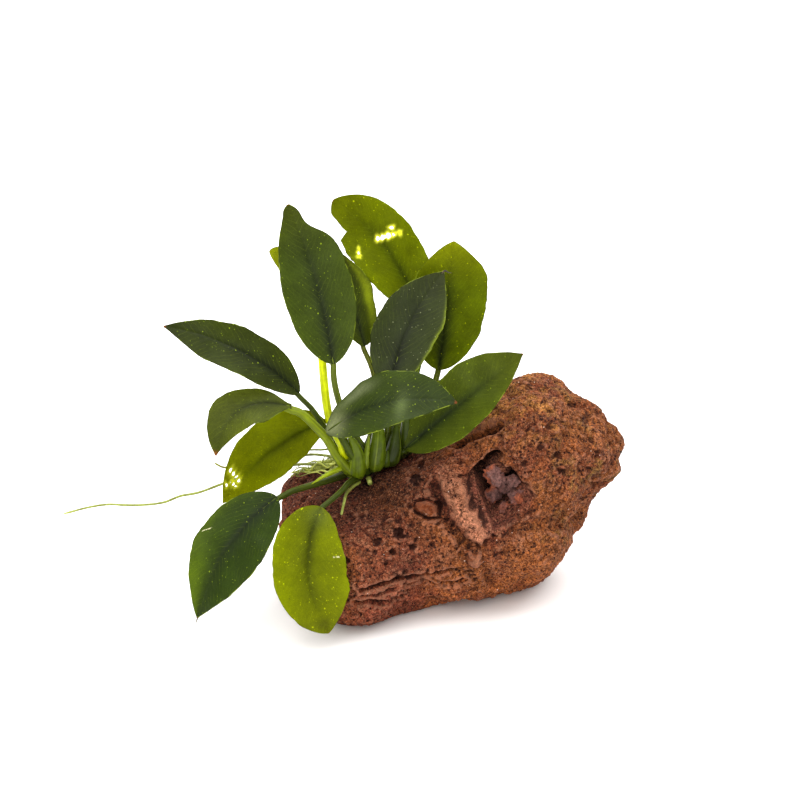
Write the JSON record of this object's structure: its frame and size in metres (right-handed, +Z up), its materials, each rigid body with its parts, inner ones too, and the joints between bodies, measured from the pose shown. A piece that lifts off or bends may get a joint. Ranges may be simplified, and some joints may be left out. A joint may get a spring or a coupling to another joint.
{
  "type": "anubias on stone",
  "caption": "Broad-leaved dwarf aquarium plant whose creeping rhizome grips a rough red lava stone, with short stalks and trailing wiry roots.",
  "frame": {"origin": "on the ground under the stone, in the middle of its flat seat", "axes": "+X along the stone's long side towards its high end, -Y towards the front with the cavity, +Z up"},
  "size_m": [0.2193, 0.1099, 0.1532],
  "materials": {
    "lava_stone": "rough, porous, matt",
    "rhizome_green": "ringed with leaf scars, dull",
    "root_green": "wiry, matt",
    "stalk_green": "smooth, slightly waxy",
    "leaf_green": "leathery, satin, lets light through"
  },
  "bodies": {
    "root": {"stone": "lava_stone", "rhizome": "rhizome_green", "root_long": "root_green", "root_left": "root_green", "root_back": "root_green", "root_front": "root_green", "root_stub": "root_green", "leaf_stalk_01": "stalk_green", "leaf_stalk_02": "stalk_green", "leaf_stalk_03": "stalk_green", "leaf_stalk_04": "stalk_green", "leaf_stalk_05": "stalk_green", "leaf_stalk_06": "stalk_green", "leaf_stalk_07": "stalk_green", "leaf_stalk_08": "stalk_green", "leaf_stalk_09": "stalk_green", "leaf_stalk_10": "stalk_green", "leaf_stalk_11": "stalk_green", "leaf_stalk_12": "stalk_green", "leaf_stalk_13": "stalk_green", "leaf_blade_01": "leaf_green", "leaf_blade_02": "leaf_green", "leaf_blade_03": "leaf_green", "leaf_blade_04": "leaf_green", "leaf_blade_05": "leaf_green", "leaf_blade_06": "leaf_green", "leaf_blade_07": "leaf_green", "leaf_blade_08": "leaf_green", "leaf_blade_09": "leaf_green", "leaf_blade_10": "leaf_green", "leaf_blade_11": "leaf_green", "leaf_blade_12": "leaf_green", "leaf_blade_13": "leaf_green"}
  },
  "joints": []
}
